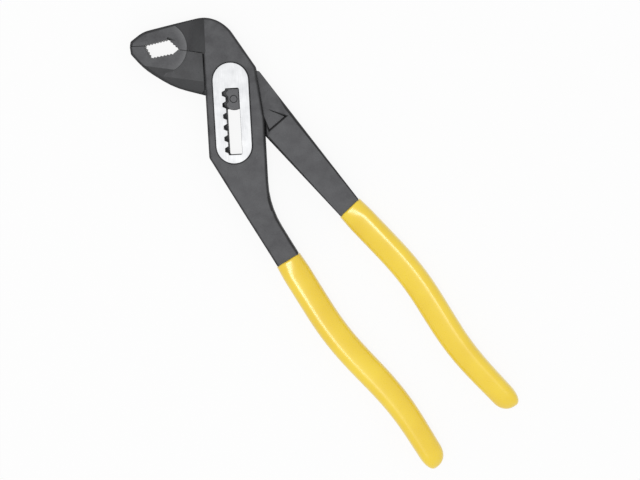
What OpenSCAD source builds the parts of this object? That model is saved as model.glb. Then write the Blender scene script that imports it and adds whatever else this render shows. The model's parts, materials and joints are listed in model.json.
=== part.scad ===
// Water pump pliers with a through joint, five jaw settings and dipped grips.
// All outlines are drawn about the slot: +X away from the jaws, +Y towards the head, Z across
// the tool. The middle plane of the tool is Z = 0 in the outlines, and the finished tool is
// lifted so that it lies on Z = 0.

/* [Adjusting slot] */
// Distance between neighbouring jaw settings
rack_pitch = 5.3; // [4.8:0.1:5.8]
// Number of jaw settings
settings = 5; // [4:1:6]
// Depth of the rack grooves in the front cheek's slot wall
groove_depth = 1.6; // [1:0.1:2]
// Length of a slide block along the slot
block_len = 9.6; // [9:0.1:10.4]
// Width of a slide block across the slot, teeth included
block_w = 6; // [5.6:0.1:6.6]
// Distance of a slide block's middle behind the slot's middle
block_shift = 1.1; // [0.8:0.1:1.4]
// Height of the teeth on the front slide block
block_tooth = 1; // [0.6:0.1:1.2]
// Gap between a slide block and the walls beside it
slot_gap = 0.2; // [0.15:0.05:0.3]
// Gap between a slide block and the slot end at the first and last setting
end_gap = 0.3; // [0.2:0.05:0.5]

/* [Pivot] */
// Diameter of the pin where it is pressed into the through arm
pin_d = 6.8; // [6:0.1:7.4]
// Diameter of the pin ends that turn in the slide blocks
pin_end_d = 3.6; // [3:0.1:4]
// Radial running gap round the pin ends
pin_gap = 0.05; // [0.03:0.01:0.08]
// Bevel on the rim of the pin ends
pin_bevel = 0.3; // [0.2:0.05:0.5]
// Steel round the pin in the eye of the through arm
eye_wall = 1.9; // [1.5:0.1:2.2]
// Angle that the jaws open through
open_angle = 40; // [30:1:42]

/* [Thickness] */
// Thickness over both cheeks
cheek_t = 11.2; // [10.4:0.1:12.4]
// Height of the ground boss above a cheek
boss_h = 0.9; // [0.5:0.1:1.4]
// Thickness of the neck that passes between the cheeks
neck_t = 5; // [4.4:0.1:5.6]
// Gap between the neck and each cheek
neck_gap = 0.15; // [0.1:0.05:0.3]
// Thickness of both jaws
jaw_t = 8.6; // [7.6:0.1:9.6]
// Thickness of the handle bars
arm_t = 8; // [7.2:0.1:8.6]
// Depth of a slide block's face below the boss
block_sink = 0.2; // [0.1:0.05:0.5]

/* [Cheeks] */
// Distance from the slot's middle to the edge on the jaw side
cheek_front = 11.6; // [10.8:0.1:12.4]
// Distance from the slot's middle to the edge on the handle side
cheek_back = 15.4; // [14.6:0.1:16.2]
// Width of the boss
boss_w = 17.4; // [15.6:0.1:18.4]
// Distance of the boss's middle behind the slot's middle
boss_shift = 0.6; // [0:0.1:1.1]
// Length of the boss past the slot at the head end
boss_over = 12.3; // [10:0.1:13]
// Length of the boss past the slot at the handle end
boss_under = 4.4; // [3.5:0.1:6]
// Distance from the pivot to the through arm's upper edge
neck_top = 17.4; // [16.6:0.1:18.2]
// Gap over the neck when the jaws are wide open
mortise_gap = 0.8; // [0.6:0.1:1.2]
// Room below the eye at the last setting
mortise_room = 3.7; // [3:0.1:5]
// Height of the crown above the pivot
crown_h = 40.6; // [38:0.1:43]

/* [Jaws] */
// Distance from the slot's middle to the jaw tips
jaw_reach = 46.1; // [44:0.1:50]
// Height of the bite at the tips above the pivot
bite_h = 27.1; // [26:0.1:29]
// Drop of the bite from the tips to the back of the notch
bite_drop = 2.5; // [1.5:0.1:3.5]
// Gap between the shut jaws
bite_gap = 0.15; // [0.1:0.05:0.5]
// Length of the flat land at the tips
tip_land = 7.2; // [6:0.1:9]
// Length of the pipe notch
notch_len = 15.6; // [13:0.1:17]
// Depth of the pipe notch in the upper jaw
notch_up = 4.6; // [3.5:0.1:5.5]
// Depth of the pipe notch in the lower jaw
notch_down = 5.7; // [4.5:0.1:6.5]
// Radius of the raised pad round the pipe notch
pad_r = 12; // [11:0.1:13]
// Depth of the hollow between the pad and the cheeks
hollow_depth = 0.6; // [0.3:0.1:1]
// Length of the slope from the upper jaw's hollow to the cheeks
slope_run = 7; // [5:0.2:7.4]
// Slope of the bevel under the lower jaw
chin_slope = 9; // [5:0.5:9]
// Spacing of the teeth in the notch
tooth_pitch = 1.4; // [1.1:0.1:2]
// Depth of the teeth in the notch
tooth_depth = 0.6; // [0.3:0.1:0.8]

/* [Handles] */
// Lean of the tool's long axis away from the slot
axis_lean = 34.75; // [33:0.25:36]
// Swing of each handle to either side of that lean
swing = 6; // [4:0.5:7]
// Straight stretch at the head end of each grip
straight_run = 22; // [14:1:30]
// Length of one full wave of a handle
wave_len = 88; // [80:1:100]
// Width of the handle bars where the grips begin
arm_w = 11.8; // [11.2:0.1:12.6]
// Length of the slotted arm's bar from heel to grip
bar_len = 61; // [56:0.5:68]
// Distance from the pivot to the grip of the through arm
bar_reach = 75.2; // [72:0.2:80]
// Angle of that line below the square of the slot
bar_drop = 46.3; // [45:0.1:47.5]

/* [Grips] */
// Length of the slotted arm's grip
slotted_grip_len = 125; // [112:1:134]
// Length of the through arm's grip
through_grip_len = 126; // [114:1:136]
// Width of a grip along its middle
grip_w = 13.7; // [12.6:0.1:14.4]
// Width of a grip at its far end
grip_end_w = 12; // [10.6:0.1:12.6]
// Height of the grip's mouth above the bar beside it
mouth_lip = 0.6; // [0.2:0.1:0.8]
// Coating thickness beside the tang at the mouth
mouth_coat = 1.1; // [0.9:0.1:1.4]
// Coating thickness beside the tang along the middle
side_coat = 1.9; // [1.6:0.1:2.2]
// Share of a grip's thickness that is lost towards its inner side
inner_fall = 0.3; // [0:0.05:0.35]
// Length of a grip's round end
grip_tip = 6; // [5:0.5:8]
// Gap between a grip's mouth and the shoulder of its bar
mouth_gap = 0.1; // [0.05:0.05:0.3]

/* [Hidden] */
$fn = 64;

// Arc step in degrees on rounded outline corners
arc_step = 6;
// Share of an edge that one rounded corner may take
edge_share = 0.49;
// Length that carries a cut clear of what it cuts
past = 60;
// Side of a square that stands for half of the outline plane
field = 480;
// Number of sides round a grip, of rings along it and of rings on its round end
grip_sides = 24;
grip_rings = 26;
tip_rings = 5;
// Squareness of a grip's cross-section, where 2 is an ellipse
grip_square = 3;
// Squareness of its round end
tip_square = 2.6;
// Lengths over which a grip's mouth eases into its middle height and middle width
mouth_run = 25;
flare_run = 9;
// Depth of the grip's mouth below its middle, above and below the bar
mouth_sink = 0.7;
// Coating left on the end of a tang
end_coat = 2;
// Steps in which a handle's middle line is walked
path_steps = 40;
// Length of tang that runs back into its bar
tang_root = 4;

// Corner radii of the arms
crown_r = 16;
brow_r = 14;
knee_r = 3;
back_r = 20;
throat_r = 45;
heel_r = 3;
chin_r = 40;
tip_r = 1.5;
crotch_r = 2;

// Slide, slot and rack
travel = rack_pitch * (settings - 1);
block_left = block_shift - block_w / 2;
block_right = block_shift + block_w / 2;
rack_x = block_left - slot_gap;
wall_x = block_right + slot_gap;
slot_top = block_len / 2 + end_gap;
slot_end = -travel - slot_top;

groove_mouth = 3.3;
groove_floor = 1.6;
flank_gap = 0.25;
slot_r = 0.8;

// Pivot, in the middle of the solid part of the slide blocks
pivot = [(block_left + block_tooth + block_right) / 2, 0];
eye_r = pin_d / 2 + eye_wall;

// Half thicknesses
half_h = cheek_t / 2 + boss_h;
mortise_t = neck_t + 2 * neck_gap;
block_in = mortise_t / 2;
block_out = half_h - block_sink;

// Handle bars: the slotted arm leans less and the through arm more than the tool's axis
slotted_lean = axis_lean - swing;
through_lean = axis_lean + swing;
heel_drop = 0.9;
heel = [-cheek_front, slot_end - heel_drop];
slotted_mouth = heel + bar_len * along(slotted_lean) + arm_w / 2 * across(slotted_lean);
through_mouth = pivot + bar_reach * [cos(bar_drop), -sin(bar_drop)];
throat = [cheek_back, bar_edge_y(cheek_back)];
through_upper = through_mouth + arm_w / 2 * across(through_lean);
through_lower = through_mouth - arm_w / 2 * across(through_lean);

// The through arm's upper edge touches the circle of radius neck_top round the pivot
edge_turn = angle_of(through_upper - pivot) + acos(neck_top / norm(through_upper - pivot));
neck_run = 3;
neck_back = pivot + neck_top * polar(edge_turn) + neck_run * polar(edge_turn + 90);

// Mortise: its top is square to the neck's edge when the jaws are wide open
roof_turn = edge_turn + open_angle;
roof_r = neck_top + mortise_gap;
roof_front = [-cheek_front, roof_y(-cheek_front)];
floor_y = -travel - eye_r - mortise_room;
floor_bend_x = 0.5;
crotch_side = 0.9;
crotch_y = -19.3;
crotch_room = 2.9;
mortise_over = 6;
crotch = [cheek_back + crotch_side, crotch_y];
floor_back = [crotch.x, crotch.y - travel - crotch_room];

// Pipe notch: its peak lies ahead of its back end and its low point behind its front end
notch_peak_run = 4.4;
notch_low_run = 2.65;
notch_facet_run = 2;
notch_facet_drop = 1.6;
tip = [-jaw_reach, bite_h];
notch_front = tip + [tip_land, 0];
notch_back = notch_front + [notch_len, -bite_drop];
notch_top = notch_back + [-notch_peak_run, notch_up];
notch_low = notch_front + [notch_low_run, -notch_down];
notch_facet = notch_back - [notch_facet_run, notch_facet_drop];
pad_middle = (notch_front + notch_back) / 2;

// Jaw outlines, measured from the tip
tip_top_run = 0.5;
tip_top_rise = 2.3;
tip_low_run = 0.3;
tip_low_drop = 3.7;
brow_run = 6.6;
brow_rise = 6.6;
chin_front_run = 6.4;
chin_front_drop = 11.2;
chin_back_run = 19.7;
chin_back_drop = 20.4;
tip_top = tip + [tip_top_run, tip_top_rise];
tip_low = tip + [tip_low_run, -tip_low_drop];
brow = tip + [brow_run, brow_rise];
chin_front = tip + [chin_front_run, -chin_front_drop];
chin_back = tip + [chin_back_run, -chin_back_drop];

// Upper edge of the bevel under the lower jaw
bevel_run = 8.4;
bevel_drop = 9.7;
bevel_turn = -10.3;
bevel_start = tip + [bevel_run, -bevel_drop];

// Cheek outline, and the leaning step between the upper jaw and the cheeks
crown_x = -3.6;
knee_in = 2.8;
knee_y = 14.5;
back_bend_y = -10;
jaw_root_y = 2.2;
jaw_inset = 4;
step_lean = 1.5;
slope_in = 0.5;
crown = [crown_x, crown_h];
step_top = [step_lean - cheek_front, line_y(brow, crown, step_lean - cheek_front)];
knee = [cheek_back - knee_in, knee_y];
back_bend = [cheek_back, back_bend_y];
jaw_root = [-cheek_front, jaw_root_y];
neck_front = roof_front - [0, mortise_gap];

// Through arm: gaps beside the cheeks, ramp up from the neck and relief beside the cheek
jaw_side_gap = 0.3;
bar_side_gap = 0.4;
jaw_edge = -cheek_front - jaw_side_gap;
jaw_back = [jaw_edge, line_y(notch_back, roof_front, jaw_edge) - bite_gap];
ramp_turn = 34.6;
ramp_start = 16.4;
ramp_len = 6.5;
eye_turn = -60;
relief_in = 1.8;
relief_top = 4.8;
relief_len = 10.3;
relief_mid = 9.35;
relief_foot = 2.05;
relief_low = 15.7;
relief_corners = [[-relief_in, -relief_top], [relief_len, -relief_mid], [relief_foot, -relief_low]];

// Slotted arm: thinning from the cheeks to the bar, as distances from the heel
thin_start = 30;
even_run = 8;
thin_end = bar_len - even_run;

// Middle of the tool's outline, which is the part's origin
crown_cut = 1.6;
far_slotted = middle_at(slotted_mouth, slotted_grip_len - grip_tip, -1);
far_through = middle_at(through_mouth, through_grip_len - grip_tip, 1);
centre = [
    (far_through.x + grip_end_w / 2 - jaw_reach) / 2,
    (far_slotted.y - grip_end_w / 2 + crown_h - crown_cut) / 2
];

steel = [0.27, 0.27, 0.28];
block_steel = [0.2, 0.2, 0.21];
vinyl = [0.93, 0.78, 0.16];

// Directions and points in the outline plane
function polar(turn) = [cos(turn), sin(turn)];
function angle_of(p) = atan2(p.y, p.x);
function along(lean) = [sin(lean), -cos(lean)];
function across(lean) = [cos(lean), sin(lean)];
function unit(p) = p / norm(p);
function line_y(p, q, x) = p.y + (q.y - p.y) * (x - p.x) / (q.x - p.x);
function roof_y(x) = pivot.y + (roof_r - (x - pivot.x) * cos(roof_turn)) / sin(roof_turn);
function bar_edge_y(x) = (heel * across(slotted_lean) + arm_w - x * cos(slotted_lean)) / sin(slotted_lean);
function ease(t) = t <= 0 ? 0 : t >= 1 ? 1 : t * t * (3 - 2 * t);

// Points of one outline corner [x, y, radius], rounded within its two edges
function corner_points(before, corner, after) =
    let (
        at = [corner.x, corner.y],
        back = [before.x, before.y] - at,
        ahead = [after.x, after.y] - at,
        half = acos(unit(back) * unit(ahead)) / 2,
        room = edge_share * min(norm(back), norm(ahead)),
        radius = min(corner.z, room * tan(half)),
        middle = at + unit(unit(back) + unit(ahead)) * radius / sin(half),
        start = angle_of(at + unit(back) * radius / tan(half) - middle),
        side = cross(back, ahead) > 0 ? -1 : 1,
        sweep = side * (180 - 2 * half),
        count = max(1, ceil(abs(sweep) / arc_step))
    )
    [for (i = [0:count]) middle + radius * polar(start + sweep * i / count)];

// Outline from a list of points [x, y] and rounded corners [x, y, radius]
function outline(corners) =
    let (count = len(corners))
    [
        for (i = [0:count - 1])
            each len(corners[i]) < 3 ? [corners[i]] :
                corner_points(corners[(i + count - 1) % count], corners[i], corners[(i + 1) % count])
    ];

// Row of teeth from p to q, without q, cut to the right of the way from p to q
function teeth(p, q) =
    let (
        count = floor(norm(q - p) / tooth_pitch),
        step = (q - p) / count,
        deep = tooth_depth * unit([step.y, -step.x])
    )
    [for (i = [0:count - 1]) each [p + i * step, p + (i + 0.5) * step + deep]];

// Middle line of a handle from its mouth, swinging to the given side of the tool's axis
function sum(list) = [for (item = list) 1] * list;
function lean_at(s, side) = axis_lean + side * swing * cos(360 * max(0, s - straight_run) / wave_len);
function middle_at(mouth, s, side) =
    let (stride = s / path_steps)
    mouth + stride * sum([for (i = [0:path_steps - 1]) along(lean_at((i + 0.5) * stride, side))]);

// Half widths of a grip and of the tang inside it
function grip_half(s, length) =
    grip_w / 2
    + (arm_w / 2 + mouth_lip - grip_w / 2) * (1 - ease(s / flare_run))
    - (grip_w - grip_end_w) / 2 * ease(2 * s / length - 1);
function tang_half(s, length) =
    grip_half(s, length) - mouth_coat - (side_coat - mouth_coat) * ease(s / mouth_run);
function grip_half_t(s) = half_h - mouth_sink * (1 - ease(s / mouth_run));

// Ring of points round a grip at distance s, drawn in by the factor shrink and fuller on its outer side
function square_cos(turn, square = grip_square) = sign(cos(turn)) * pow(abs(cos(turn)), 2 / square);
function square_sin(turn, square = grip_square) = sign(sin(turn)) * pow(abs(sin(turn)), 2 / square);
function fullness(outward, fall) = 1 - fall * (1 - outward) / 2;
function crest(fall) =
    max([for (turn = [0:360 / grip_sides:90]) square_sin(turn) * fullness(square_cos(turn), fall)]);
function grip_ring(mouth, side, length, s, shrink) =
    let (
        middle = middle_at(mouth, s, side),
        out = across(lean_at(s, side)),
        fall = inner_fall * ease(s / mouth_run),
        height = shrink * grip_half_t(s) / crest(fall)
    )
    [
        for (i = [0:grip_sides - 1])
            let (
                turn = 360 * i / grip_sides,
                reach = shrink * grip_half(s, length) * square_cos(turn),
                rise = height * square_sin(turn) * fullness(side * square_cos(turn), fall)
            )
            [middle.x + reach * out.x, middle.y + reach * out.y, rise]
    ];

// Triangles of a skin over rings of equal count, closed by fans at both ends
function skin(rings, sides) = [
    for (r = [0:rings - 2])
        for (i = [0:sides - 1])
            let (
                a = r * sides + i,
                b = r * sides + (i + 1) % sides
            )
            each [[a, b, a + sides], [b, b + sides, a + sides]],
    for (i = [0:sides - 1]) [rings * sides, (i + 1) % sides, i],
    for (i = [0:sides - 1])
        [rings * sides + 1, (rings - 1) * sides + i, (rings - 1) * sides + (i + 1) % sides]
];

// Solid of a grip without the room for its tang
module grip_body(mouth, side, length) {
    run = length - grip_tip - mouth_gap;
    straight = [for (i = [0:grip_rings]) [mouth_gap + run * i / grip_rings, 1]];
    round = [
        for (i = [1:tip_rings])
            let (turn = 90 * i / (tip_rings + 1))
            [length - grip_tip + grip_tip * square_sin(turn, tip_square), square_cos(turn, tip_square)]
    ];
    stations = concat(straight, round);
    rings = [for (station = stations) each grip_ring(mouth, side, length, station[0], station[1])];
    start = middle_at(mouth, mouth_gap, side);
    end = middle_at(mouth, length, side);
    points = concat(rings, [[start.x, start.y, 0], [end.x, end.y, 0]]);
    polyhedron(points, skin(len(stations), grip_sides));
}

// Flat tang inside a grip
module tang(mouth, side, length) {
    reach = length - grip_tip - end_coat;
    stations = concat([-tang_root], [for (i = [1:grip_rings]) reach * i / grip_rings]);
    count = len(stations);
    right = [for (s = stations) middle_at(mouth, s, side) + tang_half(s, length) * across(lean_at(s, side))];
    left = [for (s = stations) middle_at(mouth, s, side) - tang_half(s, length) * across(lean_at(s, side))];
    linear_extrude(arm_t, center = true)
        polygon(concat(right, [for (i = [1:count]) left[count - i]]));
}

// Turn about the pivot
module about_pivot(turn) {
    translate(pivot) rotate(turn) translate(-pivot) children();
}

// Half plane on the back or the front of the line x
module behind(x) {
    translate([x, -field / 2]) square(field);
}
module ahead_of(x) {
    translate([x - field, -field / 2]) square(field);
}

// Bar of changing thickness, as [distance, half thickness] from a point along a turn
module side_profile(from, turn, stations) {
    count = len(stations);
    lower = [for (i = [1:count]) [stations[count - i][0], -stations[count - i][1]]];
    translate(from) rotate(turn) rotate([90, 0, 0])
        linear_extrude(field, center = true) polygon(concat(stations, lower));
}

// Outline of the slotted arm up to its grip
module slotted_plan() {
    polygon(outline(concat(
        [
            tip,
            [tip_top.x, tip_top.y, tip_r],
            [brow.x, brow.y, brow_r],
            [crown.x, crown.y, crown_r],
            [knee.x, knee.y, knee_r],
            [back_bend.x, back_bend.y, back_r],
            [throat.x, throat.y, throat_r],
            slotted_mouth + arm_w / 2 * across(slotted_lean),
            slotted_mouth - arm_w / 2 * across(slotted_lean),
            [heel.x, heel.y, heel_r],
            roof_front
        ],
        teeth(notch_back, notch_top),
        teeth(notch_top, notch_front),
        [notch_front]
    )));
}

// Part of the plane behind the step from the upper jaw to the cheeks
module cheek_zone() {
    polygon([
        [-cheek_front, -field / 2],
        roof_front,
        roof_front + 2 * (step_top - roof_front),
        [field / 2, field / 2],
        [field / 2, -field / 2]
    ]);
}

// Round-ended boss on a cheek
module boss_plan() {
    radius = boss_w / 2;
    upper = slot_top + boss_over - radius;
    lower = slot_end - boss_under + radius;
    translate([boss_shift, upper]) circle(radius);
    translate([boss_shift, lower]) circle(radius);
    translate([boss_shift - radius, lower]) square([boss_w, upper - lower]);
}

// Adjusting slot, on the front with its rack on the jaw side
module slot_plan(toothed) {
    polygon(outline([
        [wall_x, slot_top, slot_r],
        [wall_x, slot_end, slot_r],
        [rack_x, slot_end, slot_r],
        for (k = toothed ? [settings:-1:0] : [])
            let (y = rack_pitch / 2 - k * rack_pitch)
            each [
                [rack_x, y - groove_mouth / 2],
                [rack_x - groove_depth, y - groove_floor / 2],
                [rack_x - groove_depth, y + groove_floor / 2],
                [rack_x, y + groove_mouth / 2]
            ],
        [rack_x, slot_top, slot_r / 2]
    ]));
}

// Room between the cheeks for the neck over its whole travel
module mortise_plan() {
    side = cheek_back + mortise_over;
    polygon([
        notch_back,
        roof_front,
        [side, roof_y(side)],
        [side, line_y([floor_bend_x, floor_y], floor_back, side)],
        [floor_bend_x, floor_y],
        [notch_back.x, floor_y]
    ]);
}

// Hollow on both faces of a jaw, from the pad round the notch to the cheeks
module jaw_hollow() {
    for (side = [0, 1])
        mirror([0, 0, side]) translate([0, 0, jaw_t / 2 - hollow_depth]) linear_extrude(past)
            difference() {
                behind(pad_middle.x);
                translate(pad_middle) circle(pad_r);
            }
}

// Slope on both faces of the upper jaw, from its hollow up to the cheeks
module jaw_slope() {
    turn = angle_of(step_top - roof_front) - 90;
    low = jaw_t / 2 - hollow_depth;
    rate = (cheek_t / 2 - low) / slope_run;
    intersection() {
        linear_extrude(cheek_t, center = true)
            intersection() {
                slotted_plan();
                ahead_of(jaw_inset - cheek_front);
            }
        side_profile(roof_front - (slope_run - slope_in) * polar(turn), turn, [
            [-slope_in, low - slope_in * rate],
            [slope_run, cheek_t / 2]
        ]);
    }
}

// Bevel on both faces of the lower jaw, down to its lower edge
module chin_bevel() {
    for (side = [0, 1])
        mirror([0, 0, side]) translate([bevel_start.x, bevel_start.y, jaw_t / 2]) rotate(bevel_turn)
            rotate([chin_slope, 0, 0]) translate([-past, -past, 0]) cube([2 * past, past, past]);
}

module slotted_arm() {
    color(steel) lay() difference() {
        union() {
            difference() {
                linear_extrude(jaw_t, center = true)
                    intersection() {
                        slotted_plan();
                        ahead_of(jaw_inset - cheek_front);
                    }
                jaw_hollow();
            }
            jaw_slope();
            intersection() {
                linear_extrude(cheek_t + past, center = true)
                    intersection() {
                        slotted_plan();
                        cheek_zone();
                    }
                side_profile(heel, slotted_lean - 90, [
                    [-field / 2, cheek_t / 2],
                    [thin_start, cheek_t / 2],
                    [thin_end, arm_t / 2],
                    [bar_len + past, arm_t / 2]
                ]);
            }
            linear_extrude(2 * half_h, center = true) boss_plan();
            tang(slotted_mouth, -1, slotted_grip_len);
        }
        linear_extrude(mortise_t, center = true) mortise_plan();
        linear_extrude(past) slot_plan(true);
        mirror([0, 0, 1]) linear_extrude(past) slot_plan(false);
    }
}

// Outline of the through arm up to its grip
module through_plan() {
    drop = [0, -bite_gap];
    polygon(outline(concat(
        [tip + drop],
        teeth(notch_front + drop, notch_low),
        teeth(notch_low, notch_facet),
        [
            notch_facet,
            notch_back + drop,
            jaw_back,
            neck_front,
            neck_back,
            through_upper,
            through_lower,
            [crotch.x, crotch.y, crotch_r],
            pivot + eye_r * polar(eye_turn),
            jaw_root,
            [chin_back.x, chin_back.y, chin_r],
            [chin_front.x, chin_front.y, chin_r],
            [tip_low.x, tip_low.y, tip_r]
        ]
    )));
    translate(pivot) circle(eye_r);
}

module through_arm() {
    color(steel) lay() difference() {
        union() {
            linear_extrude(neck_t, center = true) through_plan();
            difference() {
                linear_extrude(jaw_t, center = true)
                    difference() {
                        intersection() {
                            through_plan();
                            ahead_of(jaw_edge);
                        }
                        about_pivot(-open_angle) behind(jaw_edge);
                    }
                jaw_hollow();
                chin_bevel();
            }
            difference() {
                intersection() {
                    linear_extrude(past, center = true)
                        intersection() {
                            through_plan();
                            behind(cheek_back + bar_side_gap);
                        }
                    side_profile(pivot, -ramp_turn, [
                        [ramp_start, neck_t / 2],
                        [ramp_start + ramp_len, arm_t / 2],
                        [bar_reach + past, arm_t / 2]
                    ]);
                }
                translate([cheek_back, 0]) linear_extrude(past, center = true) polygon(relief_corners);
            }
            tang(through_mouth, 1, through_grip_len);
        }
        translate([pivot.x, pivot.y, 0]) cylinder(d = pin_d, h = past, center = true);
    }
}

module pivot_pin() {
    plain = block_out - pin_bevel;
    color(steel) lay() translate([pivot.x, pivot.y, 0]) {
        cylinder(d = pin_d, h = neck_t, center = true);
        cylinder(d = pin_end_d, h = 2 * plain, center = true);
        for (side = [0, 180])
            rotate([side, 0, 0]) translate([0, 0, plain])
                cylinder(d1 = pin_end_d, d2 = pin_end_d - 2 * pin_bevel, h = pin_bevel);
    }
}

// Slide block on the front side of the middle plane, with the pin's bore and with or without teeth
module slide_block(toothed) {
    root = block_left + (toothed ? block_tooth : 0);
    tooth_tip = groove_floor / 2 - flank_gap;
    tooth_base = groove_mouth / 2 - flank_gap;
    translate([0, 0, block_in]) difference() {
        linear_extrude(block_out - block_in)
            polygon([
                [block_right, -block_len / 2],
                [root, -block_len / 2],
                for (y = toothed ? [-rack_pitch / 2, rack_pitch / 2] : [])
                    each [
                        [root, y - tooth_base],
                        [block_left, y - tooth_tip],
                        [block_left, y + tooth_tip],
                        [root, y + tooth_base]
                    ],
                [root, block_len / 2],
                [block_right, block_len / 2]
            ]);
        translate([pivot.x, pivot.y, 0])
            cylinder(d = pin_end_d + 2 * pin_gap, h = past, center = true);
    }
}

module front_slide_block() {
    color(block_steel) lay() slide_block(true);
}

module rear_slide_block() {
    color(block_steel) lay() mirror([0, 0, 1]) slide_block(false);
}

module slotted_arm_grip() {
    color(vinyl) lay() difference() {
        grip_body(slotted_mouth, -1, slotted_grip_len);
        tang(slotted_mouth, -1, slotted_grip_len);
    }
}

module through_arm_grip() {
    color(vinyl) lay() difference() {
        grip_body(through_mouth, 1, through_grip_len);
        tang(through_mouth, 1, through_grip_len);
    }
}

// The tool lies flat, its origin below the middle of its outline
module lay() {
    translate([-centre.x, -centre.y, half_h]) children();
}

slotted_arm();
through_arm();
pivot_pin();
front_slide_block();
rear_slide_block();
slotted_arm_grip();
through_arm_grip();
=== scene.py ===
import json
import math

import bmesh
import bpy
from mathutils import Matrix, Vector


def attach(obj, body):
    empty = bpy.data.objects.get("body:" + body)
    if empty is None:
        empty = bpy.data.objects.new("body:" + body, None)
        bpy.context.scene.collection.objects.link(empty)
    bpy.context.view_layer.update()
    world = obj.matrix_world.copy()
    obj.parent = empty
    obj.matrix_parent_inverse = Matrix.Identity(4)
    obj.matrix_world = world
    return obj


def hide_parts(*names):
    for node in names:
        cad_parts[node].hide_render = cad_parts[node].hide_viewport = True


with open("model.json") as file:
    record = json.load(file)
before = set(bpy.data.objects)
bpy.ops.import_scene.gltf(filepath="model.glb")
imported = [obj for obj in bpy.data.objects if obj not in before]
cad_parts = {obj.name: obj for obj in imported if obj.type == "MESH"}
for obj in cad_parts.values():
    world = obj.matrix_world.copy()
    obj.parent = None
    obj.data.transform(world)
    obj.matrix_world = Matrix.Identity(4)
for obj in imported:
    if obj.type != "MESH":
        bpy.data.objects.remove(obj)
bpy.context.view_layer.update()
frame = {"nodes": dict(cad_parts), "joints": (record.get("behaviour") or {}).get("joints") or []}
mm = 0.001
scene = bpy.context.scene
scene.view_settings.view_transform = "Standard"
print("frame loaded:", len(frame["nodes"]), "nodes")

# Places on the tool are in mm across and along the adjusting slot, with heights from the middle plane
pivotAt = Vector(next(joint for joint in frame["joints"] if joint["name"] == "jaw_pivot")["pos_m"])
pivotAcross = 1.6  # the pin's place on that scale, where it is also at 0 along


def toolPoint(across, along, height=0.0):
    return pivotAt + Vector((across - pivotAcross, along, height)) * mm


def toolPlace(point):
    place = (point - pivotAt) / mm
    return place.x + pivotAcross, place.y, place.z


def alongLean(lean):
    return Vector((math.sin(lean), -math.cos(lean), 0))


def acrossLean(lean):
    return Vector((math.cos(lean), math.sin(lean), 0))


# Nodes that the materials, the grips and the stage share

plainWhite = (1.0, 1.0, 1.0)
noiseSpan = (0.3, 0.7)  # most of a noise lies between these


def emptyTree(owner):
    owner.use_nodes = True
    owner.node_tree.nodes.clear()
    return owner.node_tree


def feed(tree, socket, value):
    if isinstance(value, bpy.types.NodeSocket):
        tree.links.new(value, socket)
    else:
        socket.default_value = value


def addMath(tree, operation, *values):
    node = tree.nodes.new("ShaderNodeMath")
    node.operation = operation
    for socket, value in zip(node.inputs, values):
        feed(tree, socket, value)
    return node.outputs[0]


def addNoise(tree, coordinates, grain, detail, stretch=(1, 1, 1), turn=0.0):
    mapping = tree.nodes.new("ShaderNodeMapping")
    mapping.inputs["Rotation"].default_value = (0, 0, turn)
    mapping.inputs["Scale"].default_value = stretch
    tree.links.new(coordinates, mapping.inputs["Vector"])
    noise = tree.nodes.new("ShaderNodeTexNoise")
    noise.inputs["Scale"].default_value = 1 / (grain * mm)
    noise.inputs["Detail"].default_value = detail
    tree.links.new(mapping.outputs["Vector"], noise.inputs["Vector"])
    return noise.outputs["Fac"]


def addRamp(tree, value, low, high, span=noiseSpan):
    ramp = tree.nodes.new("ShaderNodeValToRGB")
    for element, place, colour in zip(ramp.color_ramp.elements, span, (low, high)):
        element.position = place
        element.color = (*colour, 1)
    tree.links.new(value, ramp.inputs["Fac"])
    return ramp.outputs["Color"]


def addRange(tree, value, low, high, span=noiseSpan):
    node = tree.nodes.new("ShaderNodeMapRange")
    for name, limit in zip(("From Min", "From Max", "To Min", "To Max"), (*span, low, high)):
        node.inputs[name].default_value = limit
    tree.links.new(value, node.inputs["Value"])
    return node.outputs["Result"]


def addBlend(tree, first, second, share, mode="MIX"):
    mix = tree.nodes.new("ShaderNodeMix")
    mix.data_type = "RGBA"
    mix.blend_type = mode
    colours = [socket for socket in mix.inputs if socket.type == "RGBA"]
    for socket, value in zip((mix.inputs[0], *colours), (share, first, second)):
        feed(tree, socket, value)
    return next(socket for socket in mix.outputs if socket.type == "RGBA")


def addBump(tree, value, depth, strength, before=None):
    bump = tree.nodes.new("ShaderNodeBump")
    bump.inputs["Distance"].default_value = depth * mm
    bump.inputs["Strength"].default_value = strength
    tree.links.new(value, bump.inputs["Height"])
    if before:
        tree.links.new(before, bump.inputs["Normal"])
    return bump.outputs["Normal"]


# Materials

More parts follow.
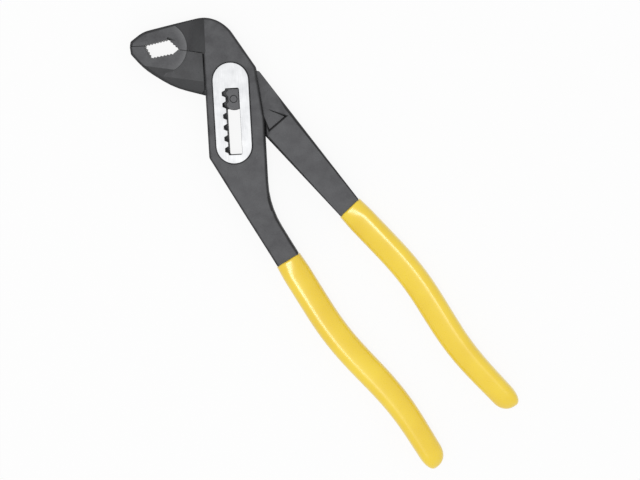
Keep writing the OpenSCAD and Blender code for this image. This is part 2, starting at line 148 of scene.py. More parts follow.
padMiddle = (-31.1, 25.85)  # raised pad round the pipe notch, a part of it on each jaw
padRadius = 12.0
padTop = 4.27  # just below the pad's own height
polishedLook = {
    "dark": (0.036, 0.036, 0.039), "light": (0.080, 0.081, 0.085), "metallic": 0.5, "rough": (0.42, 0.56),
    "grain": 0.55, "patch": 6.0, "depth": 0.05, "strength": 0.22}
steelLooks = {
    "flatSteel": polishedLook,  # blackened and lightly polished faces of the forgings
    "padSteel": {  # raised pad of the jaws, with a painted highlight that turns it paler towards its rim on the right side
        **polishedLook, "rimHighlight": (0.100, 0.101, 0.105), "rimHighlightFrom": (8.4, padRadius), "rimHighlightSide": (1.0, 9.0)},
    "floorSteel": {  # level hollow of the lower jaw
        **polishedLook, "dark": (0.030, 0.030, 0.032), "light": (0.062, 0.063, 0.066), "rough": (0.45, 0.58)},
    "shadedHollowSteel": {  # recessed and sloping faces of the jaws: painted shade makes them darker, and they are less polished
        "dark": (0.025, 0.025, 0.027), "light": (0.040, 0.041, 0.043), "metallic": 0.45,
        "rough": (0.48, 0.62), "grain": 0.6, "patch": 7.0, "depth": 0.06, "strength": 0.25},
    "shadedEdgeSteel": {  # painted shade: edges, roundings and side walls darkened to stand in for their shadow and dark reflections
        "dark": (0.006, 0.006, 0.007), "light": (0.014, 0.014, 0.015), "metallic": 0.2,
        "rough": (0.52, 0.70), "grain": 0.8, "patch": 5.0, "depth": 0.10, "strength": 0.35,
        "seam": 0.22},
    "machinedSteel": {  # cut walls of the slot, the rack and the jaw teeth
        "dark": (0.020, 0.020, 0.022), "light": (0.042, 0.042, 0.045), "metallic": 0.5,
        "rough": (0.40, 0.54), "grain": 0.4, "patch": 3.0, "depth": 0.03, "strength": 0.2},
    "blockSteel": {  # hardened slide blocks and pin
        "dark": (0.050, 0.050, 0.053), "light": (0.082, 0.083, 0.087), "metallic": 0.6,
        "rough": (0.38, 0.52), "grain": 0.35, "patch": 3.0, "depth": 0.03, "strength": 0.2}}
forgedRule = {  # the same for all of these steels
    "patchDetail": 5.0, "patchSpan": (0.34, 0.66), "grainDetail": 3.0, "speckShade": (0.72, 0.72, 0.72),
    "speckSpan": (0.25, 0.55), "speckShare": 0.7, "swell": 3, "seamDepth": 0.12, "seamStrength": 0.8}


def newMaterial(name):
    material = bpy.data.materials.new(name)
    tree = emptyTree(material)
    output = tree.nodes.new("ShaderNodeOutputMaterial")
    shader = tree.nodes.new("ShaderNodeBsdfPrincipled")
    tree.links.new(shader.outputs["BSDF"], output.inputs["Surface"])
    coordinates = tree.nodes.new("ShaderNodeTexCoord")
    return material, tree, shader, coordinates.outputs["Object"]


def addSeam(tree, coordinates, halfWidth):
    parts = tree.nodes.new("ShaderNodeSeparateXYZ")
    tree.links.new(coordinates, parts.inputs[0])
    distance = addMath(tree, "ABSOLUTE", addMath(tree, "SUBTRACT", parts.outputs["Z"], pivotAt.z))
    return addRange(tree, distance, 1.0, 0.0, (0.0, halfWidth * mm))


def addRimHighlight(tree, coordinates, colour, look):
    # painted highlight: paler towards the pad's rim, and only right of its middle
    offset = tree.nodes.new("ShaderNodeVectorMath")
    offset.operation = "SUBTRACT"
    offset.inputs[1].default_value = toolPoint(*padMiddle)
    tree.links.new(coordinates, offset.inputs[0])
    parts = tree.nodes.new("ShaderNodeSeparateXYZ")
    tree.links.new(offset.outputs[0], parts.inputs[0])
    level = tree.nodes.new("ShaderNodeCombineXYZ")
    for axis in ("X", "Y"):
        tree.links.new(parts.outputs[axis], level.inputs[axis])
    radius = tree.nodes.new("ShaderNodeVectorMath")
    radius.operation = "LENGTH"
    tree.links.new(level.outputs[0], radius.inputs[0])
    outward = addRange(tree, radius.outputs["Value"], 0.0, 1.0, [place * mm for place in look["rimHighlightFrom"]])
    sideways = addRange(tree, parts.outputs["X"], 0.0, 1.0, [place * mm for place in look["rimHighlightSide"]])
    return addBlend(tree, colour, (*look["rimHighlight"], 1), addMath(tree, "MULTIPLY", outward, sideways))


def forgedLook(name):
    look = steelLooks[name]
    material, tree, shader, coordinates = newMaterial(name)
    patches = addNoise(tree, coordinates, look["patch"], forgedRule["patchDetail"])
    grain = addNoise(tree, coordinates, look["grain"], forgedRule["grainDetail"])
    colour = addRamp(tree, patches, look["dark"], look["light"], forgedRule["patchSpan"])
    if "rimHighlight" in look:
        colour = addRimHighlight(tree, coordinates, colour, look)
    specks = addRamp(tree, grain, forgedRule["speckShade"], plainWhite, forgedRule["speckSpan"])
    colour = addBlend(tree, colour, specks, forgedRule["speckShare"], "MULTIPLY")
    tree.links.new(colour, shader.inputs["Base Color"])
    tree.links.new(addRange(tree, patches, *look["rough"]), shader.inputs["Roughness"])
    swells = addBump(tree, patches, look["depth"] * forgedRule["swell"], look["strength"])
    if "seam" in look:  # parting line of the forging dies at mid height
        seam = addSeam(tree, coordinates, look["seam"])
        swells = addBump(tree, seam, forgedRule["seamDepth"], forgedRule["seamStrength"], swells)
    tree.links.new(addBump(tree, grain, look["depth"], look["strength"], swells), shader.inputs["Normal"])
    shader.inputs["Metallic"].default_value = look["metallic"]
    return material


groundLook = {  # bright ground faces of the bosses
    "dark": (0.44, 0.445, 0.455), "light": (0.54, 0.545, 0.55), "rough": (0.46, 0.56), "metallic": 1.0,
    "patch": 6.0, "patchDetail": 4.0, "line": 0.25, "lineDetail": 2.0, "stretch": (1.0, 0.03, 1.0),
    "turn": math.radians(8), "strokeShade": (0.86, 0.86, 0.87), "strokeSpan": (0.3, 0.6),
    "strokeShare": 0.8, "depth": 0.01, "strength": 0.3}


def groundSteel():
    look = groundLook
    material, tree, shader, coordinates = newMaterial("groundSteel")
    lines = addNoise(tree, coordinates, look["line"], look["lineDetail"], look["stretch"], look["turn"])
    patches = addNoise(tree, coordinates, look["patch"], look["patchDetail"])
    colour = addRamp(tree, patches, look["dark"], look["light"])
    strokes = addRamp(tree, lines, look["strokeShade"], plainWhite, look["strokeSpan"])
    colour = addBlend(tree, colour, strokes, look["strokeShare"], "MULTIPLY")
    tree.links.new(colour, shader.inputs["Base Color"])
    tree.links.new(addRange(tree, lines, *look["rough"]), shader.inputs["Roughness"])
    tree.links.new(addBump(tree, lines, look["depth"], look["strength"]), shader.inputs["Normal"])
    shader.inputs["Metallic"].default_value = look["metallic"]
    return material


vinylLook = {  # dipped yellow coating
    "deep": (0.85, 0.580, 0.016), "light": (0.92, 0.670, 0.028), "patch": 22.0, "patchDetail": 3.0,
    "ripple": 9.0, "rippleDetail": 1.0, "rippleDepth": 0.25, "rippleStrength": 0.25,
    "pores": 0.6, "poreDetail": 2.0, "poreDepth": 0.01, "poreStrength": 0.15,
    "rough": (0.26, 0.36), "specular": 0.6, "coat": 0.55, "coatRough": 0.15}


def gripVinyl():
    look = vinylLook
    material, tree, shader, coordinates = newMaterial("gripVinyl")
    patches = addNoise(tree, coordinates, look["patch"], look["patchDetail"])
    ripples = addNoise(tree, coordinates, look["ripple"], look["rippleDetail"])
    pores = addNoise(tree, coordinates, look["pores"], look["poreDetail"])
    tree.links.new(addRamp(tree, patches, look["deep"], look["light"]), shader.inputs["Base Color"])
    tree.links.new(addRange(tree, pores, *look["rough"]), shader.inputs["Roughness"])
    dips = addBump(tree, ripples, look["rippleDepth"], look["rippleStrength"])
    skin = addBump(tree, pores, look["poreDepth"], look["poreStrength"], dips)
    tree.links.new(skin, shader.inputs["Normal"])
    shader.inputs["Specular IOR Level"].default_value = look["specular"]
    shader.inputs["Coat Weight"].default_value = look["coat"]
    shader.inputs["Coat Roughness"].default_value = look["coatRough"]
    return material


finishes = {name: forgedLook(name) for name in steelLooks}
finishes["groundSteel"] = groundSteel()
finishes["gripVinyl"] = gripVinyl()
print("materials made:", len(finishes))


# Handles: both wave about one shared lean, to opposite sides, after a straight run from the grip's mouth

handleRule = {"lean": math.radians(34.75), "swing": math.radians(6), "straight": 22.0, "wave": 88.0,
              "barWidth": 11.8}
slottedLean = handleRule["lean"] - handleRule["swing"]
throughLean = handleRule["lean"] + handleRule["swing"]
slottedMouth = {"heel": (-11.6, -27.2), "bar": 61.0}
throughMouth = {"reach": 75.2, "drop": math.radians(46.3)}
slottedMouthAt = (toolPoint(*slottedMouth["heel"]) + slottedMouth["bar"] * mm * alongLean(slottedLean)
                  + handleRule["barWidth"] / 2 * mm * acrossLean(slottedLean))
throughMouthAt = pivotAt + throughMouth["reach"] * mm * Vector(
    (math.cos(throughMouth["drop"]), -math.sin(throughMouth["drop"]), 0))


# Forged arms: the frame's solids with rounded edges, fillets and a finish for each face

armEdges = {"sharpFrom": math.radians(18), "outline": 1.2, "fillet": 0.4, "corner": 0.25, "wallShare": 0.42,
            "segments": 3, "upright": 0.9, "lowStep": 0.3, "mouthSpare": 0.05, "rimSpare": 0.1}
faceLevels = {"wall": 0.5, "slope": 0.9, "flat": 0.96, "ground": 0.99, "level": 0.995}  # rise of a normal
faceSpare = {"near": 0.1, "rim": 0.7}
meshRule = {"merge": 0.002, "coplanar": math.radians(0.6), "softTo": math.radians(40), "flatWeight": 80}
hiddenTang = {"from": 1.0, "to": 2.2, "height": 0.7, "spare": 0.01}  # thinned inside the grip
bossHeight = 6.5
slotBox = (-4.0, -26.7, 4.7, 5.5)  # in a box, the least across and along come first
notchBox = (-39.4, 20.6, -22.4, 30.1)
upperJawBox = (-47.0, 27.2, -11.0, 45.0)
wholeTool = (-60, -200, 200, 60)
allHeights = (0, 9)
slottedArm = {
    "node": "slotted_arm", "piece": "slotted_arm_forging", "body": "slotted_half", "slot": "forged_steel",
    "mouth": (slottedMouthAt, slottedLean),
    "zones": [  # the first that holds an edge gives its rounding
        {"box": slotBox, "heights": (6.3, 6.7), "round": 0.12},  # rim of the slot
        {"box": slotBox, "heights": (0, 6.3), "round": 0},  # inside of the slot
        {"box": (-46.0, 27.0, -38.8, 27.2), "heights": allHeights, "round": 0.07},  # bite at the tip
        {"box": (-39.0, 15.0, -11.0, 29.35), "heights": allHeights, "round": 0.1},  # notch and bite
        {"box": upperJawBox, "heights": (4.2, 4.4), "round": 1.35},  # outline of the jaw
        {"box": upperJawBox, "heights": (3.6, 3.75), "round": 0.75},  # outline of its hollow
        {"box": (-25.0, 30.0, -10.3, 45.0), "heights": (3.75, 5.57), "round": 1.2},  # slope to the cheeks
        {"box": wholeTool, "heights": (0, 2.8), "round": 0.15}],  # mortise
    "cutWalls": [slotBox, notchBox],
    "darkerRecess": {"box": (-46.0, 20.0, -10.0, 42.0), "below": 5.58, "level": "shadedHollowSteel"}}
throughArm = {
    "node": "through_arm", "piece": "through_arm_forging", "body": "through_half", "slot": "forged_steel",
    "mouth": (throughMouthAt, throughLean),
    "zones": [
        {"box": (-46.0, 26.85, -38.8, 27.05), "heights": allHeights, "round": 0.07},  # bite at the tip
        {"box": (-39.3, 19.0, -13.0, 27.05), "heights": allHeights, "round": 0.1},  # notch and bite
        {"box": (-14.0, 2.0, -11.5, 5.0), "heights": (2.4, 2.75), "round": 0},  # keeps clear of the mortise
        {"box": (-13.0, -3.0, -11.0, 24.0), "heights": allHeights, "round": 0.2},  # back of the jaw
        {"box": (-2.0, -3.6, 5.2, 3.6), "heights": allHeights, "round": 0},  # eye round the pin
        {"box": (13.5, -17.5, 27.0, -4.0), "heights": (2.3, 2.6), "round": 0.4},  # floor of the relief
        {"box": wholeTool, "heights": (0, 2.6), "round": 0.15}],  # neck
    "cutWalls": [notchBox],
    "darkerRecess": {"box": (-46.0, 0.0, -10.0, 27.2), "below": padTop, "level": "floorSteel"}}
armFinishes = ["flatSteel", "padSteel", "shadedHollowSteel", "floorSteel", "shadedEdgeSteel", "machinedSteel",
               "groundSteel"]


def inBox(box, across, along):
    return box[0] <= across <= box[2] and box[1] <= along <= box[3]


def wallHeight(edge):
    heights = [math.inf]
    for face in edge.link_faces:
        if abs(face.normal.z) < faceLevels["wall"]:
            rise = [vertex.co.z / mm for vertex in face.verts]
            heights.append(max(rise) - min(rise))
    return min(heights)


def onPadRim(edge):
    middle = toolPoint(*padMiddle)
    offsets = [(vertex.co - middle).xy.length / mm - padRadius for vertex in edge.verts]
    return all(abs(offset) < armEdges["rimSpare"] for offset in offsets)


def edgeRound(edge, arm):
    if len(edge.link_faces) != 2 or edge.calc_face_angle(0) < armEdges["sharpFrom"]:
        return 0
    middle = (edge.verts[0].co + edge.verts[1].co) / 2
    mouthAt, lean = arm["mouth"]
    inGrip = (middle - mouthAt).dot(alongLean(lean)) > -armEdges["mouthSpare"] * mm
    if inGrip or onPadRim(edge):
        return 0
    across, along, height = toolPlace(middle)
    for zone in arm["zones"]:
        lowest, highest = zone["heights"]
        if inBox(zone["box"], across, along) and lowest <= abs(height) <= highest:
            return zone["round"]
    run = (edge.verts[1].co - edge.verts[0].co).normalized()
    if abs(run.z) > armEdges["upright"]:
        return armEdges["corner"] if edge.is_convex else 0
    size = armEdges["outline"] if edge.is_convex else armEdges["fillet"]
    return min(size, armEdges["wallShare"] * wallHeight(edge))


def faceFinish(face, arm):
    middle = face.calc_center_median()
    across, along, height = toolPlace(middle)
    height = abs(height)
    level = abs(face.normal.z)
    if level > faceLevels["ground"] and height > bossHeight - faceSpare["near"]:
        return "groundSteel"
    if level < faceLevels["wall"] and any(inBox(box, across, along) for box in arm["cutWalls"]):
        return "machinedSteel"
    # recessed faces in the box are darker: level ones take the arm's listed finish, sloping ones the hollow
    # finish with its painted shade
    darkerRecess = arm["darkerRecess"]
    fromPad = (middle - toolPoint(*padMiddle)).xy.length / mm - padRadius
    onPad = fromPad < faceSpare["near"] and height > padTop
    inDarkerRecess = height < darkerRecess["below"] and not onPad and inBox(darkerRecess["box"], across, along)
    if inDarkerRecess and level > faceLevels["slope"]:
        return darkerRecess["level"] if level > faceLevels["level"] else "shadedHollowSteel"
    # the pad's rim walls right of its middle keep the pad's finish with its painted highlight
    onLitRim = abs(fromPad) < faceSpare["rim"] and height < padTop and across > padMiddle[0]
    if onLitRim or (onPad and level > faceLevels["flat"] and height < padTop + faceSpare["near"]):
        return "padSteel"
    if level > faceLevels["flat"]:
        return "flatSteel"
    # every other face, the walls and roundings, gets the dark painted shade
    return "shadedEdgeSteel"


def meshPiece(name, mesh):
    piece = bpy.data.objects.new(name, mesh)
    scene.collection.objects.link(piece)
    return piece


def bakeModifiers(piece):
    bpy.context.view_layer.update()
    shaped = piece.evaluated_get(bpy.context.evaluated_depsgraph_get())
    mesh = bpy.data.meshes.new_from_object(shaped)
    piece.modifiers.clear()
    piece.data = mesh
    return piece


def mergedShape(mesh):
    shape = bmesh.new()
    shape.from_mesh(mesh)
    bmesh.ops.remove_doubles(shape, verts=shape.verts[:], dist=meshRule["merge"] * mm)
    bmesh.ops.dissolve_limit(shape, angle_limit=meshRule["coplanar"], verts=shape.verts[:],
                             edges=shape.edges[:])
    shape.normal_update()
    return shape


def closeLowSteps(shape):
    joins = {}
    for edge in shape.edges:
        run = edge.verts[1].co - edge.verts[0].co
        if abs(run.z) > armEdges["upright"] * run.length and run.length < armEdges["lowStep"] * mm:
            lower, upper = sorted(edge.verts, key=lambda vertex: abs(vertex.co.z - pivotAt.z))
            joins[lower] = upper
    bmesh.ops.weld_verts(shape, targetmap=joins)
    shape.normal_update()


def slimTang(shape, arm):
    mouthAt, lean = arm["mouth"]
    away = alongLean(lean)
    for depth in (hiddenTang["from"], hiddenTang["to"]):
        bmesh.ops.bisect_plane(shape, geom=shape.verts[:] + shape.edges[:] + shape.faces[:],
                               plane_co=mouthAt + depth * mm * away, plane_no=away)
    for vertex in shape.verts:
        if (vertex.co - mouthAt).dot(away) > (hiddenTang["to"] - hiddenTang["spare"]) * mm:
            vertex.co.z = pivotAt.z + (vertex.co.z - pivotAt.z) * hiddenTang["height"]
    shape.normal_update()


def roundEdges(name, shape, rounds, segments):
    widest = max(rounds)
    mesh = bpy.data.meshes.new(name)
    shape.to_mesh(mesh)
    shape.free()
    weights = mesh.attributes.new("bevel_weight_edge", "FLOAT", "EDGE")
    weights.data.foreach_set("value", [size / widest for size in rounds])
    piece = meshPiece(name, mesh)
    bevel = piece.modifiers.new("rounding", "BEVEL")
    bevel.width = widest * mm
    bevel.segments = segments
    bevel.limit_method = "WEIGHT"
    bevel.use_clamp_overlap = False
    bevel.loop_slide = False
    return bakeModifiers(piece)


def finishFaces(piece, names, chooser):
    shape = mergedShape(piece.data)
    bmesh.ops.triangulate(shape, faces=[face for face in shape.faces if len(face.verts) > 4])
    shape.normal_update()
    for face in shape.faces:
        face.smooth = True
        face.material_index = names.index(chooser(face))
    for edge in shape.edges:  # a ground face keeps a sharp border
        ground = {names[face.material_index] == "groundSteel" for face in edge.link_faces}
        edge.smooth = edge.calc_face_angle(0) < meshRule["softTo"] and len(ground) == 1
    piece.data.materials.clear()
    for name in names:
        piece.data.materials.append(finishes[name])
    shape.to_mesh(piece.data)
    shape.free()
    normals = piece.modifiers.new("evenShading", "WEIGHTED_NORMAL")
    normals.keep_sharp = True
    normals.weight = meshRule["flatWeight"]
    return bakeModifiers(piece)


def standFor(piece, spec):
    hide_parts(spec["node"])
    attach(piece, spec["body"])
    print(spec["piece"], len(piece.data.polygons), "faces")


def forgedArm(arm):
    shape = mergedShape(frame["nodes"][arm["node"]].data)
    closeLowSteps(shape)
    slimTang(shape, arm)
    rounds = [edgeRound(edge, arm) for edge in shape.edges]
    piece = roundEdges(arm["piece"], shape, rounds, armEdges["segments"])
    finishFaces(piece, armFinishes, lambda face: faceFinish(face, arm))
    standFor(piece, arm)


for arm in (slottedArm, throughArm):
    forgedArm(arm)
print("forged arms made")


# Slide blocks and pin: small hardened pieces with broken edges, except close round the pin's axis

hardenedRule = {"sharpFrom": math.radians(30), "pinClear": 2.1, "segments": 2}
hardenedParts = [
    {"node": "front_slide_block", "piece": "front_block", "body": "slide_blocks", "slot": "block_steel",
     "round": 0.18},
    {"node": "rear_slide_block", "piece": "rear_block", "body": "slide_blocks", "slot": "block_steel",
     "round": 0.18},
    {"node": "pivot_pin", "piece": "stepped_pin", "body": "through_half", "slot": "block_steel",
     "round": 0.05}]


def isBroken(edge):
    byPin = all((vertex.co - pivotAt).xy.length < hardenedRule["pinClear"] * mm for vertex in edge.verts)
    return edge.calc_face_angle(0) > hardenedRule["sharpFrom"] and edge.is_convex and not byPin


def hardenedPart(part):
    shape = mergedShape(frame["nodes"][part["node"]].data)
    rounds = [part["round"] if isBroken(edge) else 0 for edge in shape.edges]
    piece = roundEdges(part["piece"], shape, rounds, hardenedRule["segments"])
    finishFaces(piece, ["blockSteel"], lambda face: "blockSteel")
    standFor(piece, part)


for part in hardenedParts:
    hardenedPart(part)
print("slide blocks and pin made")


# Dipped grips: a cross-section swept along each handle by one tree of nodes, in mm

gripRule = {
    "Half Width": 6.85, "End Half Width": 5.85, "Mouth Half Width": 6.5, "Half Height": 6.5,
    "Mouth Sink": 0.7, "Flare Run": 9.0, "Mouth Run": 25.0, "Round End": 8.5, "Lip": 0.9, "Mouth Gap": 0.1}
gripShape = {
    "Squareness": 2.7, "End Squareness": 2.2, "Outer Hold": 0.3, "Crowding": 0.86, "Weld": 0.0005,
    "Rings": 170, "Sides": 64, "Room Rings": 40}
tangSize = {"halfHeight": 4.0, "mouthCoat": 1.1, "sideCoat": 1.9, "stop": 8.0, "gap": 0.05}
roomRule = {  # room for the tang, measured from the grip's own solid
    "Room Half Height": tangSize["halfHeight"] + tangSize["gap"],
    "Slim Half Height": tangSize["halfHeight"] * hiddenTang["height"] + tangSize["gap"],
    "Slim From": hiddenTang["from"], "Slim To": hiddenTang["to"], "Solid End Half Width": 6.0,
    "Mouth Coat": tangSize["mouthCoat"] - tangSize["gap"],
    "Side Coat": tangSize["sideCoat"] - tangSize["gap"],
    "Room Stop": tangSize["stop"] - tangSize["gap"], "Room Crowding": 1.6}
gripParts = [  # side points to the outer side, and fall is the share of height lost on the inner side
    {"node": "slotted_arm_grip", "piece": "slotted_arm_sleeve", "body": "slotted_half", "slot": "grip_vinyl",
     "mouth": slottedMouthAt, "side": -1.0, "length": 124.97, "fall": 0.3},
    {"node": "through_arm_grip", "piece": "through_arm_sleeve", "body": "through_half", "slot": "grip_vinyl",
     "mouth": throughMouthAt, "side": 1.0, "length": 125.97, "fall": 0.42}]


def crestShare(squareness, fall):
    share = 0
    for degrees in range(91):  # a quarter turn
        turn = math.radians(degrees)
        outward = math.cos(turn) ** (2 / squareness)
        share = max(share, math.sin(turn) ** (2 / squareness) * (1 - fall * (1 - outward) / 2))
    return share


def gripInputs(part):
    return {
        **gripRule, **gripShape, **roomRule, "Length": part["length"], "Side": part["side"],
        "Lean": handleRule["lean"], "Swing": handleRule["swing"], "Straight Run": handleRule["straight"],
        "Wave Length": handleRule["wave"], "Mouth": part["mouth"] / mm, "Inner Fall": part["fall"],
        "Crest Share": crestShare(gripShape["Squareness"], part["fall"]), "Finish": finishes["gripVinyl"]}


def gripTree():
    kinds = {float: "NodeSocketFloat", int: "NodeSocketInt", Vector: "NodeSocketVector",
             bpy.types.Material: "NodeSocketMaterial"}
    tree = bpy.data.node_groups.new("dippedGrip", "GeometryNodeTree")
    tree.interface.new_socket("Geometry", in_out="OUTPUT", socket_type="NodeSocketGeometry")
    identifiers = {}
    for name, value in gripInputs(gripParts[0]).items():
        socket = tree.interface.new_socket(name, in_out="INPUT", socket_type=kinds[type(value)])
        identifiers[name] = socket.identifier
    given = tree.nodes.new("NodeGroupInput").outputs
    result = tree.nodes.new("NodeGroupOutput")

    def calc(operation, *values):
        return addMath(tree, operation, *values)

    def add(*values):
        total = values[0]
        for value in values[1:]:
            total = calc("ADD", total, value)
        return total

    def take(first, second):
        return calc("SUBTRACT", first, second)

    def times(*values):
        product = values[0]
        for value in values[1:]:
            product = calc("MULTIPLY", product, value)
        return product

    def over(first, second):
        return calc("DIVIDE", first, second)

    def atLeastNone(value):
        return calc("MAXIMUM", value, 0)

    def held(value):
        return calc("MINIMUM", atLeastNone(value), 1)

    def eased(value, end):
        node = tree.nodes.new("ShaderNodeMapRange")
        node.interpolation_type = "SMOOTHSTEP"
        feed(tree, node.inputs["Value"], value)
        feed(tree, node.inputs["From Max"], end)
        return node.outputs["Result"]

    def vector(x, y, z=0.0):
        node = tree.nodes.new("ShaderNodeCombineXYZ")
        for socket, value in zip(node.inputs, (x, y, z)):
            feed(tree, socket, value)
        return node.outputs[0]

    def vectorCalc(operation, first, second):
        node = tree.nodes.new("ShaderNodeVectorMath")
        node.operation = operation
        feed(tree, node.inputs[0], first)
        feed(tree, node.inputs["Scale"] if operation == "SCALE" else node.inputs[1], second)
        return node.outputs[0]

    # Rings run from the far end of the tang's room to the mouth, then along the outside to the round end,
    # with one point more round each than it has sides
    halfStep = 0.5  # keeps whole numbers clear of rounding
    around = add(given["Sides"], 1)
    mouthRing = given["Room Rings"]
    lipRing = add(mouthRing, 1)
    grid = tree.nodes.new("GeometryNodeMeshGrid")
    feed(tree, grid.inputs["Vertices X"], add(lipRing, given["Rings"]))
    feed(tree, grid.inputs["Vertices Y"], around)
    index = tree.nodes.new("GeometryNodeInputIndex").outputs[0]
    ring = calc("FLOOR", over(add(index, halfStep), around))
    corner = take(index, times(ring, around))
    lastRing = take(given["Rings"], 1)

    # Distance from the mouth: rings crowd towards the mouth and the round end
    def station(ringNumber):
        roomShare = held(over(take(mouthRing, ringNumber), take(mouthRing, 1)))
        inward = calc("POWER", roomShare, given["Room Crowding"])
        roomLength = take(take(given["Length"], given["Room Stop"]), given["Mouth Gap"])
        share = atLeastNone(over(take(ringNumber, lipRing), lastRing))
        drift = over(calc("SINE", times(share, math.tau)), math.tau)
        outward = take(share, times(drift, given["Crowding"]))
        return add(given["Mouth Gap"], times(inward, roomLength),
                   times(outward, take(given["Length"], given["Mouth Gap"])))

    def leanAt(distance):
        past = atLeastNone(take(distance, given["Straight Run"]))
        wave = calc("COSINE", times(over(past, given["Wave Length"]), math.tau))
        return add(given["Lean"], times(given["Side"], given["Swing"], wave))

    def stepAlong(stride, lean):
        return vector(times(stride, calc("SINE", lean)), times(stride, -1, calc("COSINE", lean)))

    # Middle line: the steps from ring to ring, added up and counted from the mouth
    here = station(ring)
    before = station(take(ring, 1))
    step = stepAlong(take(here, before), leanAt(over(add(here, before), 2)))
    walked = tree.nodes.new("GeometryNodeAccumulateField")
    walked.data_type = "FLOAT_VECTOR"
    walkedValue = next(socket for socket in walked.inputs if socket.type == "VECTOR")
    feed(tree, walkedValue, step)
    feed(tree, walked.inputs["Group ID"], corner)
    walkedToMouth = tree.nodes.new("GeometryNodeFieldAtIndex")
    walkedToMouth.data_type = "FLOAT_VECTOR"
    feed(tree, walkedToMouth.inputs["Index"], add(times(mouthRing, around), corner))
    feed(tree, walkedToMouth.inputs["Value"], walked.outputs["Leading"])
    fromMouth = vectorCalc("SUBTRACT", walked.outputs["Leading"], walkedToMouth.outputs["Value"])
    start = vectorCalc("ADD", given["Mouth"], stepAlong(given["Mouth Gap"], leanAt(0)))
    middle = vectorCalc("ADD", start, fromMouth)

    # Half sizes, with a rolled lip at the mouth and a round end
    mouthShare = take(1, eased(here, given["Mouth Run"]))
    farShare = eased(take(over(times(here, 2), given["Length"]), 1), 1)
    flareShare = take(1, eased(here, given["Flare Run"]))
    width = add(given["Half Width"], times(take(given["Mouth Half Width"], given["Half Width"]), flareShare),
                times(-1, take(given["Half Width"], given["End Half Width"]), farShare))
    height = take(given["Half Height"], times(given["Mouth Sink"], mouthShare))
    lipLeft = atLeastNone(take(given["Lip"], take(here, given["Mouth Gap"])))
    lipSquare = take(times(given["Lip"], given["Lip"]), times(lipLeft, lipLeft))
    drawn = take(given["Lip"], calc("SQRT", atLeastNone(lipSquare)))
    endShare = held(over(take(here, take(given["Length"], given["Round End"])), given["Round End"]))
    endLeft = atLeastNone(take(1, calc("POWER", endShare, given["End Squareness"])))
    closing = calc("POWER", endLeft, over(1, given["End Squareness"]))

    # Cross-section: a squared oval, fuller on the handle's outer side
    turn = times(over(corner, given["Sides"]), math.tau)
    turnAcross = calc("COSINE", turn)
    turnUp = calc("SINE", turn)

    def squared(value):
        size = calc("POWER", calc("ABSOLUTE", value), over(2, given["Squareness"]))
        return times(calc("SIGN", value), size)

    sideways = squared(turnAcross)
    upwards = squared(turnUp)
    settled = take(1, flareShare)
    fall = times(given["Inner Fall"], settled)
    fullness = take(1, over(times(fall, take(1, times(given["Side"], sideways))), 2))
    crest = take(1, times(take(1, given["Crest Share"]), settled))
    hold = times(given["Side"], given["Outer Hold"], width, take(1, closing))
    outerReach = add(times(take(width, drawn), closing, sideways), hold)
    outerRise = over(times(take(height, drawn), closing, upwards, fullness), crest)

    # Room for the tang: oval at the mouth, then square-cornered, and closed at its far end
    slimShare = held(over(take(here, given["Slim From"]), take(given["Slim To"], given["Slim From"])))

    def slimmed(first, second):
        return add(first, times(take(second, first), slimShare))

    coat = take(given["Side Coat"], times(take(given["Side Coat"], given["Mouth Coat"]), mouthShare))
    endSpare = times(take(given["Solid End Half Width"], given["End Half Width"]), farShare)
    roomWidth = take(add(width, endSpare), coat)
    roomHeight = slimmed(given["Room Half Height"], given["Slim Half Height"])
    cornerReach = calc("MAXIMUM", calc("ABSOLUTE", turnAcross), calc("ABSOLUTE", turnUp))
    unclosed = calc("GREATER_THAN", ring, halfStep)
    roomReach = times(roomWidth, slimmed(sideways, over(turnAcross, cornerReach)), unclosed)
    roomRise = times(roomHeight, slimmed(upwards, over(turnUp, cornerReach)), unclosed)

    inside = calc("LESS_THAN", ring, add(mouthRing, halfStep))
    reach = add(outerReach, times(inside, take(roomReach, outerReach)))
    rise = add(outerRise, times(inside, take(roomRise, outerRise)))
    leanHere = leanAt(here)
    sway = vectorCalc("SCALE", vector(calc("COSINE", leanHere), calc("SINE", leanHere)), reach)
    spot = vectorCalc("ADD", vectorCalc("ADD", middle, sway), vector(0, 0, rise))

    moved = tree.nodes.new("GeometryNodeSetPosition")
    merged = tree.nodes.new("GeometryNodeMergeByDistance")
    realized = tree.nodes.new("GeometryNodeRealizeInstances")
    coated = tree.nodes.new("GeometryNodeSetMaterial")
    feed(tree, moved.inputs["Position"], spot)
    feed(tree, merged.inputs["Distance"], given["Weld"])
    feed(tree, coated.inputs["Material"], given["Finish"])
    source = grid.outputs["Mesh"]
    for node in (moved, merged, realized, coated):
        feed(tree, node.inputs["Geometry"], source)
        source = node.outputs["Geometry"]
    feed(tree, result.inputs["Geometry"], source)
    return tree, identifiers


sweepTree, sweepInput = gripTree()


def dippedGrip(part):
    piece = meshPiece(part["piece"], bpy.data.meshes.new(part["piece"]))
    sweep = piece.modifiers.new("sweep", "NODES")
    sweep.node_group = sweepTree
    for name, value in gripInputs(part).items():
        sweep[sweepInput[name]] = value
    bakeModifiers(piece)
    shape = bmesh.new()
    shape.from_mesh(piece.data)
    bmesh.ops.scale(shape, vec=(mm, mm, mm), verts=shape.verts[:])
    bmesh.ops.recalc_face_normals(shape, faces=shape.faces[:])
    for face in shape.faces:
        face.smooth = True
    for edge in shape.edges:
        edge.smooth = edge.calc_face_angle(0) < meshRule["softTo"]
    shape.to_mesh(piece.data)
    shape.free()
    standFor(piece, part)


for part in gripParts:
    dippedGrip(part)
print("dipped grips made")


# Stage: white floor that keeps a faint shadow, pale surroundings, soft boxes and the camera

stageLook = {"floorSize": 3.0, "floorColour": (0.86, 0.86, 0.86), "whiteShare": 0.9, "skyLight": 0.71}


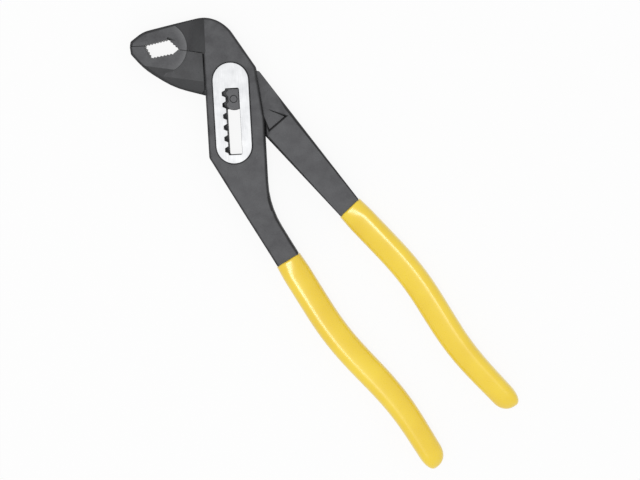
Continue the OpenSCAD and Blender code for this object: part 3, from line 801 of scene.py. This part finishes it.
def whenSeen(tree):
    rays = tree.nodes.new("ShaderNodeLightPath").outputs
    total = rays["Is Camera Ray"]
    for name in ("Is Glossy Ray", "Is Transmission Ray"):
        total = addMath(tree, "MAXIMUM", total, rays[name])
    return total


def addSwitch(tree, share, lit, seen, output):
    mix = tree.nodes.new("ShaderNodeMixShader")
    for socket, value in zip(mix.inputs, (share, lit, seen)):
        tree.links.new(value, socket)
    tree.links.new(mix.outputs["Shader"], output.inputs["Surface"])


def whiteFloor():
    half = stageLook["floorSize"] / 2
    mesh = bpy.data.meshes.new("floor")
    corners = [(-half, -half, 0), (half, -half, 0), (half, half, 0), (-half, half, 0)]
    mesh.from_pydata(corners, [], [(0, 1, 2, 3)])
    floor = meshPiece("floor", mesh)
    material = bpy.data.materials.new("paleFloor")
    tree = emptyTree(material)
    output = tree.nodes.new("ShaderNodeOutputMaterial")
    paint = tree.nodes.new("ShaderNodeBsdfDiffuse")
    paint.inputs["Color"].default_value = (*stageLook["floorColour"], 1)
    glow = tree.nodes.new("ShaderNodeEmission")
    share = addMath(tree, "MULTIPLY", whenSeen(tree), stageLook["whiteShare"])
    addSwitch(tree, share, paint.outputs["BSDF"], glow.outputs["Emission"], output)
    mesh.materials.append(material)


def paleWorld():
    world = bpy.data.worlds.new("paleRoom")
    scene.world = world
    tree = emptyTree(world)
    output = tree.nodes.new("ShaderNodeOutputWorld")
    lit = tree.nodes.new("ShaderNodeBackground")
    lit.inputs["Strength"].default_value = stageLook["skyLight"]
    seen = tree.nodes.new("ShaderNodeBackground")
    for background in (lit, seen):
        background.inputs["Color"].default_value = (*plainWhite, 1)
    addSwitch(tree, whenSeen(tree), lit.outputs["Background"], seen.outputs["Background"], output)


softBoxes = [  # places and sizes in metres
    {"name": "gripBox", "at": (-0.045, -0.14, 1.25), "aim": (0.0, -0.04, 0.0), "size": (0.28, 0.26),
     "power": 2.2, "turn": handleRule["lean"]},
    {"name": "mouthBox", "at": (-0.26, -0.06, 1.2), "aim": (0.0, 0.0, 0.0), "size": (0.26, 0.14),
     "power": 1.3, "turn": handleRule["lean"]},
    {"name": "headBox", "at": (-0.12, 0.09, 1.25), "aim": (-0.04, 0.06, 0.0), "size": (0.30, 0.30),
     "power": 0.8, "turn": 0.0}]


def softBox(box):
    lamp = bpy.data.lights.new(box["name"], "AREA")
    lamp.shape = "RECTANGLE"
    lamp.size, lamp.size_y = box["size"]
    lamp.energy = box["power"]
    holder = bpy.data.objects.new(box["name"], lamp)
    facing = (Vector(box["aim"]) - Vector(box["at"])).to_track_quat("-Z", "Y").to_matrix().to_4x4()
    holder.matrix_world = Matrix.Translation(box["at"]) @ facing @ Matrix.Rotation(box["turn"], 4, "Z")
    holder.visible_camera = False
    scene.collection.objects.link(holder)


shot = {"middle": (38.77, -69.40), "width": 307.0, "lens": 85.0, "sensor": 36.0, "roll": math.radians(3),
        "tilt": math.radians(5.3)}


def photoCamera():
    data = bpy.data.cameras.new("photoCamera")
    data.lens = shot["lens"]
    data.sensor_width = shot["sensor"]
    camera = bpy.data.objects.new("photoCamera", data)
    distance = shot["width"] * mm * shot["lens"] / shot["sensor"]
    aim = Matrix.Translation(toolPoint(*shot["middle"]))
    turn = Matrix.Rotation(-shot["roll"], 4, "Z") @ Matrix.Rotation(-shot["tilt"], 4, "X")
    camera.matrix_world = aim @ turn @ Matrix.Translation((0, 0, distance))
    scene.collection.objects.link(camera)
    scene.camera = camera


whiteFloor()
paleWorld()
for box in softBoxes:
    softBox(box)
photoCamera()
print("stage, lights and camera made")
